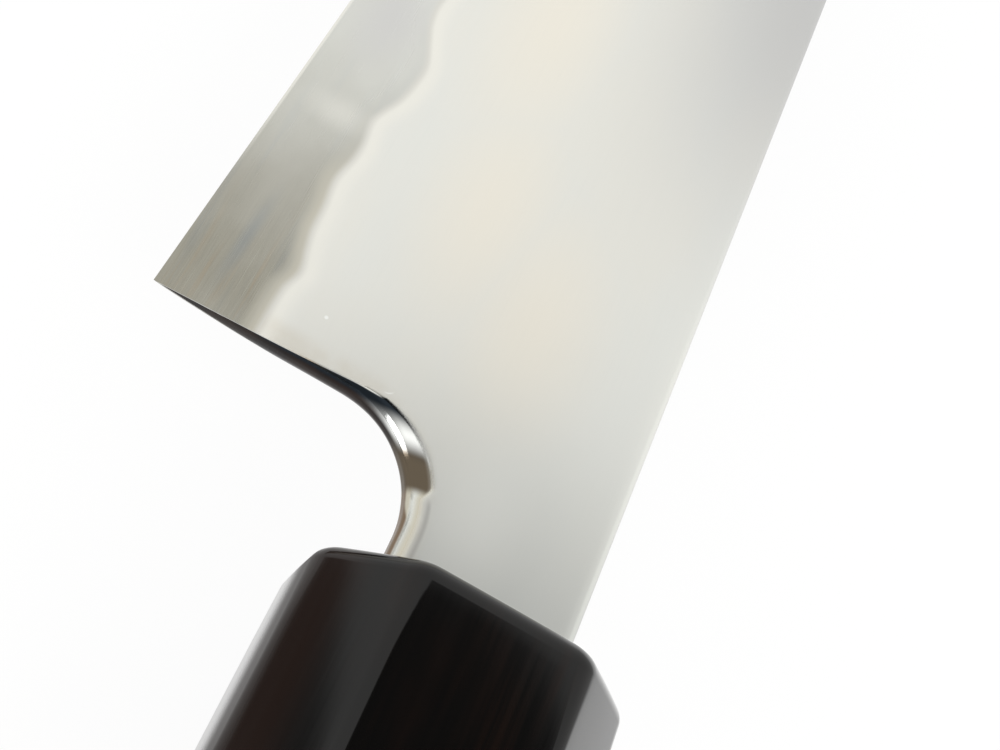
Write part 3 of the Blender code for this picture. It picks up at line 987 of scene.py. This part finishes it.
def paint_hollow_reflection(finish, colour, roughness):
    """Blends the hollow's painted reflection over a layer's colour, and its polish over the
    roughness.
    """
    polish, depth = finish.note("polish"), finish.depth.maths("ABSOLUTE")
    streaky = finish.noise(0.9, 2.5, detail=2.0, shift=5.0).step(0.35, 0.65)
    # Painted dark reflection with reddish streaks, blue-grey beside the face, brown towards the
    # neck.
    mirror = finish.mix(streaky, PAINTED_DARK_REFLECTION, PAINTED_REDDISH_REFLECTION)
    mirror = finish.mix(depth.step(*BESIDE_FACE), mirror, PAINTED_BLUE_REFLECTION)
    mirror = finish.mix(finish.x.step(*BROWN_FROM), mirror, PAINTED_BROWN_REFLECTION)
    # A painted glint where the hollow turns below the neck, beside the lamp's real highlight.
    glint = finish.x.between(*GLINT_ALONG) * depth.step(*GLINT_DEPTH)
    mirror = finish.mix(glint, mirror, PAINTED_GLINT)
    # Along the border: a painted olive reflection towards the neck, a painted highlight line
    # towards the heel.
    rim = polish.step(1.0, 0.4) * finish.x.step(*RIM_OLIVE_FROM)
    mirror = finish.mix(rim, mirror, PAINTED_NECK_OLIVE)
    border = polish.between(0.02, 0.98) * finish.x.step(*BORDER_GLINT_TO)
    mirror = finish.mix(border, mirror, PAINTED_GLINT)
    # The brushed neck's painted reflection: brown low down, olive, and a painted pale highlight
    # streak.
    brown = depth - 0.75 * finish.x.step(*BROWN_WIDENS)
    painted_neck = finish.mix(brown.step(*BROWN_EDGE), PAINTED_NECK_BROWN, PAINTED_NECK_OLIVE)
    painted_neck = finish.mix(depth.between(*PALE_STREAK), painted_neck, PAINTED_NECK_HIGHLIGHT)
    neck = finish.x.step(*NECK_STEP)
    shown = finish.mix(neck, mirror, painted_neck)
    smooth = neck.blend(MIRROR_ROUGHNESS, BRUSHED_ROUGHNESS)
    return finish.mix(polish, colour, shown), polish.blend(roughness, smooth)


# %% [markdown]
# ### Soft iron
# The iron is pale and satin, a cool grey with very fine marks along the blade, and a cream seam
# just over the wavy line, where the weld shows. Warm clouds over it are painted reflections,
# spread by noise and at given patches. Painted shade greys it towards the neck, where a pale
# patch takes part of it back, and darkens it towards the spine further out. Near the heel the
# zone below the line is tan. Polishing powder left a faint brown tint along the hollow, and a
# line of painted shade follows the crease where the neck's roll meets the face. A small fleck
# and a curved scratch are painted in the glint's colour, as painted highlights. A patch is given
# by its reach and height and by half its length and height.

# %% Satin iron
IRON_COOL = (0.775, 0.780, 0.745)
# Painted warm reflection, the colour of the warm clouds.
PAINTED_WARM_REFLECTION = (0.845, 0.803, 0.712)
# Grey for the painted shade towards the neck, and for the fine marks.
SHADE_AND_MARK_GREY = (0.62, 0.63, 0.605)
# Painted shade towards the spine.
PAINTED_SPINE_SHADE = (0.56, 0.56, 0.555)
# Cream of the weld seam, also used on the core for a painted reflection and a painted highlight.
SEAM_AND_HIGHLIGHT_CREAM = (0.83, 0.82, 0.765)
WELD_TAN = (0.58, 0.555, 0.475)
WELD_FAINT = (0.69, 0.68, 0.635)
POWDER_TINT = (0.52, 0.42, 0.27)
# Painted shade in the crease where the neck's roll meets the face.
NECK_CREASE_SHADE = (0.42, 0.41, 0.39)
# Patches where the painted warm reflections lie.
WARM_REFLECTION_PATCHES = ((25.0, -4.5, 19.0, 9.0), (32.0, -11.5, 20.0, 8.5), (52.0, -13.5, 25.0, 9.5))
PALE_PATCH = (8.0, -2.5, 9.0, 5.5)
NECK_SHADE_ALONG = (22.0, -2.0)
SHADE_ALONG = (26.0, 72.0)
SHADE_UP = (-13.0, 7.0)
WELD_UP = (2.4, 0.5)
TAN_UP = (-1.7, -0.3)
TAN_ALONG = (36.0, 24.0)
FAINT_UP = (-0.5, 0.1)
SEAM_UP = (-0.1, 0.5)
SEAM_FADES = (0.7, 2.4)
POWDER_WIDTH = (2.4, 0.8)
CREASE_SHADE_WIDTH = (1.15, 1.75)
CREASE_SHADE_ALONG = (-7.6, -6.8)
FLECK = (16.1, -18.5)
FLECK_EDGE = (0.20, 0.09)
SCRATCH_CENTRE = (13.8, -12.3)
SCRATCH_RADII = (0.60, 0.80)
SCRATCH_PATCH = (13.2, -12.0, 0.50, 0.50)
MARK_DEPTH = 0.00002


def weld(finish, base, over):
    """The weld's look over a layer's, by the distance over the wavy line."""
    tan = over.step(*TAN_UP) * finish.reach.step(*TAN_ALONG)
    base = finish.mix(tan * 0.8, base, WELD_TAN)
    base = finish.mix(over.step(*FAINT_UP), base, WELD_FAINT)
    seam = finish.mix(over.step(*SEAM_FADES), SEAM_AND_HIGHLIGHT_CREAM, IRON_COOL)
    return finish.mix(over.step(*SEAM_UP), base, seam)


iron = Finish("satin_iron")
# Painted warm reflections over the cool grey, spread by noise and at the given patches.
warm = 0.35 * iron.noise(26.0, 9.0, detail=2.0, shift=3.1).step(0.35, 0.70)
for oval in WARM_REFLECTION_PATCHES:
    warm = warm.at_least(iron.patch(*oval))
base = iron.mix(warm * 0.85, IRON_COOL, PAINTED_WARM_REFLECTION)
# Painted shade towards the neck; the pale patch takes part of it back.
base = iron.mix(iron.reach.step(*NECK_SHADE_ALONG), base, SHADE_AND_MARK_GREY)
base = iron.mix(iron.patch(*PALE_PATCH) * 0.72, base, IRON_COOL)
# Painted shade, darker towards the spine further out.
spine_shade = iron.reach.step(*SHADE_ALONG) * iron.height.step(*SHADE_UP)
base = iron.mix(spine_shade, base, PAINTED_SPINE_SHADE)
over = iron.note("over_line")
base = iron.mix(over.step(*WELD_UP), base, weld(iron, base, over))
marks = iron.noise(9.0, 0.05, detail=4.0, roughness=0.6)
base = iron.mix(marks.step(0.45, 0.8) * 0.07, base, SHADE_AND_MARK_GREY)
powder = iron.noise(2.5, 2.5, shift=2.0).step(0.2, 0.8) * iron.from_hollow().step(*POWDER_WIDTH)
base = iron.mix(powder * 0.24, base, POWDER_TINT)
# A line of painted shade along that crease, at the neck only.
crease_shade = iron.from_hollow().between(*CREASE_SHADE_WIDTH) * iron.x.step(*CREASE_SHADE_ALONG)
base = iron.mix(crease_shade * 0.55, base, NECK_CREASE_SHADE)
# A fleck and a curved scratch, painted in the glint's colour as painted highlights.
base = iron.mix(iron.from_spot(*FLECK).step(*FLECK_EDGE) * 0.8, base, PAINTED_GLINT)
scratch = iron.from_spot(*SCRATCH_CENTRE).between(*SCRATCH_RADII) * iron.patch(*SCRATCH_PATCH)
base = iron.mix(scratch * 0.8, base, PAINTED_GLINT)
colour, roughness = paint_hollow_reflection(iron, base, 0.30 + 0.10 * marks)
iron.set(Metallic=1.0, Base_Color=colour, Roughness=roughness)
iron.set(Normal=iron.bump(marks, 0.10, MARK_DEPTH))
iron.onto(left_iron, right_iron)

# %% [markdown]
# ### Core steel
# The hard core is darker and shinier, an olive grey with faint streaks, and it clears towards
# the tip and towards the weld. One bright oval on it is a painted reflection, and a thin pale line
# right at the edge, from a little way past the heel, is a painted highlight. A "lane" is a height
# over the rising edge.

# %% Hard core
CORE_GREY = (0.325, 0.312, 0.262)
CORE_BLUE = (0.262, 0.270, 0.255)
CORE_BROWN = (0.345, 0.295, 0.220)
CORE_CLEAR = (0.70, 0.705, 0.670)
CORE_LILAC = (0.60, 0.595, 0.590)
CORE_SHADE = (0.20, 0.19, 0.16)
LILAC_PATCH = (44.0, -25.6, 8.5, 4.5)
# Painted reflection: a bright oval streak on the core.
BRIGHT_REFLECTION_PATCH = (32.8, -25.2, 2.4, 4.2)
BROWN_ALONG = (26.0, 14.0)
GRAIN_ALONG = (34.0, 16.0)
MARKS_ALONG = (26.0, 13.0)
BLUE_LANE = (2.9, 4.5)
BLUE_ALONG = (12.5, 25.5)
CLEAR_ALONG = (15.0, 45.0)
# Painted highlight: a thin pale line right at the edge.
EDGE_HIGHLIGHT_LANE = (0.30, 0.12)
EDGE_HIGHLIGHT_ALONG = (22.0, 34.0)
DULL_UP = (-2.0, 0.0)

hard = Finish("hard_core")
slope = math.tan(math.radians(EDGE_RISE_DEG))
lane = hard.height - hard.reach * slope + HEEL_DROP * MM + HEEL_SETBACK * MM * slope
streaks = hard.noise(16.0, 1.1, detail=3.0, shift=1.7)
base = hard.mix(streaks.step(0.50, 0.72) * 0.7, CORE_GREY, CORE_BLUE)
brown = hard.noise(9.0, 0.5, detail=3.0, shift=8.0).step(0.50, 0.78)
base = hard.mix(brown * hard.reach.step(*BROWN_ALONG) * 0.7, base, CORE_BROWN)
near_heel = hard.reach.step(*GRAIN_ALONG)
grain = hard.noise(2.2, 0.10, detail=3.0, roughness=0.6).step(0.40, 0.75)
base = hard.mix(grain * near_heel * 0.22, base, CORE_SHADE)
base = hard.mix(lane.between(*BLUE_LANE) * hard.reach.between(*BLUE_ALONG), base, CORE_BLUE)
clearing = hard.reach.step(*CLEAR_ALONG) * 0.88 + hard.noise(9.0, 5.0).step(0.35, 0.75) * 0.12
base = hard.mix(clearing, base, CORE_CLEAR)
base = hard.mix(hard.patch(*LILAC_PATCH) * 0.8, base, CORE_LILAC)
# Painted reflection, a bright oval streak.
base = hard.mix(hard.patch(*BRIGHT_REFLECTION_PATCH) * 0.35, base, SEAM_AND_HIGHLIGHT_CREAM)
# Painted highlight along the edge, from a little way past the heel.
base = hard.mix(lane.step(*EDGE_HIGHLIGHT_LANE) * hard.reach.step(*EDGE_HIGHLIGHT_ALONG) * 0.7, base, SEAM_AND_HIGHLIGHT_CREAM)
under = hard.note("over_line")
base = weld(hard, base, under)
marks = hard.noise(7.0, 0.05, detail=4.0, roughness=0.6)
base = hard.mix(marks.step(0.52, 0.8) * hard.reach.step(*MARKS_ALONG) * 0.20, base, CORE_CLEAR)
colour, roughness = paint_hollow_reflection(hard, base, 0.22 + 0.08 * marks + 0.08 * under.step(*DULL_UP))
hard.set(Metallic=1.0, Base_Color=colour, Roughness=roughness)
hard.set(Normal=hard.bump(marks * (0.2 + 0.8 * near_heel), 0.08, MARK_DEPTH))
hard.onto(core)

# %% [markdown]
# ### Horn, filler and wood
# Water buffalo horn is black with a brown breath in it and very fine fibres along the axis. It
# polishes like glass, so its look is nearly all reflection. Its edge side is painted browner, a
# painted warm reflection over the horn's own brown. Its flat on the edge side is duller in the
# half away from the table.

# %% Black horn
HORN_BLACK = (0.0026, 0.0024, 0.0023)
HORN_BROWN = (0.0095, 0.0044, 0.0029)
# Painted reflection: the horn is browner from this height down to the edge side.
PAINTED_BROWN_BELOW = (-8.0, -10.5)
LOWEST_FLAT = (-11.35, -11.95)
TOWARDS_TABLE = (2.5, -2.0)
AWAY_FROM_TABLE = (-3.0, 2.5)
GLANCING = (0.45, 0.58)
SPINE_SIDE = (2.0, 8.0)

horn = Finish("black_horn")
fibres = horn.noise(16.0, 0.5, detail=4.0, roughness=0.6)
brown_share = horn.noise(12.0, 5.0, detail=2.0, shift=4.0).step(0.45, 0.75)
# Brown clouds in the horn, and its edge side painted browner as a painted reflection.
brown_share = (brown_share * fibres.step(0.3, 0.7) * 0.6).at_least(horn.height.step(*PAINTED_BROWN_BELOW))
base = horn.mix(brown_share, HORN_BLACK, HORN_BROWN)
facing = add(horn.tree, "LayerWeight", None, {"Blend": 0.5}, "Facing")
glancing = facing.step(*GLANCING) * horn.height.step(*SPINE_SIDE)
underside = horn.height.step(*LOWEST_FLAT)
glancing = glancing.at_least(underside * horn.depth.step(*TOWARDS_TABLE))
buffed = 0.07 + 0.07 * fibres + 0.32 * underside * horn.depth.step(*AWAY_FROM_TABLE)
horn.set(Base_Color=base, Roughness=buffed, Specular_IOR_Level=0.32, Coat_Weight=glancing)
horn.set(Normal=horn.bump(fibres, 0.06, MARK_DEPTH))
horn.onto(ferrule)

# %% [markdown]
# The filler is nearly as dark as the horn but dull and finely grained.

# %% Mouth filler
FILLER_DARK = (0.008, 0.007, 0.007)
FILLER_GREY = (0.022, 0.020, 0.018)
GRAIN_DEPTH = 0.00005

filler = Finish("wiped_filler")
grain = filler.noise(0.6, 0.6, detail=4.0)
filler.set(Base_Color=filler.mix(grain, FILLER_DARK, FILLER_GREY))
filler.set(Roughness=0.35 + 0.2 * grain, Normal=filler.bump(grain, 0.3, GRAIN_DEPTH))
filler.onto(seal)

# %% [markdown]
# The handle is a light, even wood. Its growth lines run straight from ferrule to butt: narrow
# bands, bent a little by noise, with short darker pores over them. A wood has three colours:
# its own, its lines' and its pores'.

# %% Pale wood
PALE_WOOD = ((0.66, 0.51, 0.32), (0.47, 0.32, 0.17), (0.30, 0.19, 0.10))
LINES_PER_MM = 0.75
LINE_WOBBLE = 2.2
PORE_DEPTH = 0.00006


def wood_grain(finish, pale, line, pore, tilt):
    wobble = finish.noise(60.0, 9.0, detail=2.0) * LINE_WOBBLE
    rings = (finish.height * tilt + finish.depth * (1 - tilt)) * LINES_PER_MM + wobble
    bands = (rings * 2 * math.pi).maths("SINE") * 0.5 + 0.5
    fibres = finish.noise(14.0, 0.18, detail=4.0, roughness=0.65)
    base = finish.mix(bands * bands * 0.55, pale, line)
    base = finish.mix(fibres.step(0.4, 0.75) * 0.35, base, line)
    pores = finish.noise(1.6, 0.09, detail=1.0).step(0.72, 0.80)
    base = finish.mix(pores * 0.7, base, pore)
    finish.set(Base_Color=base, Roughness=0.52 + 0.18 * fibres)
    finish.set(Normal=finish.bump(fibres - pores, 0.35, PORE_DEPTH))


wood = Finish("pale_handle_wood")
wood_grain(wood, *PALE_WOOD, tilt=0.35)
wood.onto(handle)

# %% [markdown]
# Inside the handle, a dowel joins horn and wood and an adhesive beds the tang. They keep the
# plain model's shapes and only get a finish of their own.

# %% Finish the hidden pieces
DOWEL_WOOD = ((0.47, 0.31, 0.16), (0.30, 0.18, 0.08), (0.16, 0.09, 0.04))
AMBER_DEEP = (0.42, 0.24, 0.07)
AMBER_PALE = (0.55, 0.36, 0.14)

dowel_wood = Finish("split_dowel_wood")
wood_grain(dowel_wood, *DOWEL_WOOD, tilt=0.6)
dowel_wood.onto(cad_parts["handle_dowel"])

resin = Finish("amber_bedding")
bubbles = resin.noise(1.2, 1.2, detail=2.0)
resin.set(Base_Color=resin.mix(bubbles, AMBER_DEEP, AMBER_PALE), Roughness=0.25 + 0.2 * bubbles)
resin.onto(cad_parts["tang_bedding"])

# %% [markdown]
# ## Table and light
# The knife lies on a white table. To the camera, and in reflections, the table is nearly its own
# white whatever falls on it, and a trace of the real light keeps the knife's shadow.

# %% A white table
TABLE_SIZE = 24.0
TABLE_WHITE = (0.93, 0.93, 0.93, 1.0)
SEEN_WHITE = 0.93
MIRRORED_WHITE = 0.60

mesh = bpy.data.meshes.new("table")
half = TABLE_SIZE / 2
corners = [(-half, -half, 0), (half, -half, 0), (half, half, 0), (-half, half, 0)]
mesh.from_pydata(corners, [], [(0, 1, 2, 3)])
table = put("table", mesh)

white = bpy.data.materials.new("table_white")
white.use_nodes = True
tree = white.node_tree
tree.nodes.clear()
seen, clear, mirrored = (
    add(tree, "LightPath", output=f"Is {kind} Ray")
    for kind in ("Camera", "Transmission", "Glossy")
)
own = (seen.at_least(clear) * SEEN_WHITE).at_least(mirrored * MIRRORED_WHITE)
lit = add(tree, "BsdfDiffuse", None, {"Color": TABLE_WHITE})
glow = add(tree, "Emission", None, {"Color": (1.0, 1.0, 1.0, 1.0), "Strength": 1.0})
shown = add(tree, "MixShader", None, {0: own, 1: lit, 2: glow})
add(tree, "OutputMaterial", None, {"Surface": shown})
mesh.materials.append(white)
print("table is", TABLE_SIZE, "m wide")

# %% [markdown]
# The room is a soft dome, greyer behind the handle. A dark strip low on the edge side, with a
# slanting end, shades the ferrule's slanted flat. A dark disc, where somebody looks down, keeps
# the horn black. A small lamp low on the edge side draws the highlight in the hollow, and a
# broad one fills from the spine side.

# %% A soft dome and two lamps
DOME_BRIGHT = 1.06
DOME_BEHIND = 0.62
DOME_COLOUR = (1.0, 1.0, 0.985, 1.0)
BEHIND_EDGE = (0.75, 0.25)
TO_BUTT = (1.0, 0.0, 0.0)
TO_SPINE = (0.0, 1.0, 0.0)
STRIP_LEVEL = 0.16
STRIP_WAY = (-0.625, 0.0, 0.781)
STRIP_TOP = (0.316, 0.285)
STRIP_SIDE = (-0.1, -0.6)
STRIP_END = (-0.14, -0.27)
DISC_WAY = Vector((-0.16, 0.18, 0.97)).normalized()
DISC_LEVEL = 0.04
DISC_EDGE_DEG = (16.6, 15.4)

world = bpy.data.worlds.new("soft_dome")
bpy.context.scene.world = world
world.use_nodes = True
tree = world.node_tree
way = add(tree, "TexCoord", output="Generated")


def towards(target):
    """How far a direction of the dome agrees with another, from -1 to 1."""
    settings = {"operation": "DOT_PRODUCT"}
    return add(tree, "VectorMath", settings, {0: way, 1: target}, "Value")


level = towards(TO_BUTT).step(*BEHIND_EDGE).blend(DOME_BEHIND, DOME_BRIGHT)
strip = towards(STRIP_WAY).step(*STRIP_TOP) * towards(TO_SPINE).step(*STRIP_SIDE)
strip = strip * towards(TO_BUTT).step(*STRIP_END)
level = strip.blend(level, STRIP_LEVEL)
disc = towards(DISC_WAY).step(*(math.cos(math.radians(angle)) for angle in DISC_EDGE_DEG))
level = disc.blend(level, DISC_LEVEL)
sky = tree.nodes["Background"].inputs
feed(tree, sky["Strength"], level)
feed(tree, sky["Color"], DOME_COLOUR)
print("dome has", len(tree.nodes), "nodes")


def lamp(name, way, distance, size, power):
    """An area lamp that looks at the heel from a direction."""
    data = bpy.data.lights.new(name, "AREA")
    data.size = size
    data.energy = power
    made = put(name, data)
    heel = AXIS + Vector((-HEEL_SETBACK, 0.0, 0.0))
    made.location = heel + Vector(way).normalized() * distance
    made.rotation_euler = Vector(way).to_track_quat("Z", "Y").to_euler()


lamp("key_lamp", (0.62, -0.67, 0.36), distance=0.6, size=0.30, power=1.3)
lamp("fill_lamp", (0.55, 0.75, 0.60), distance=1.2, size=0.9, power=6.0)

# %% [markdown]
# The picture shows plain colours, with no film look over them.

# %% Picture settings
bpy.context.scene.view_settings.view_transform = "Standard"
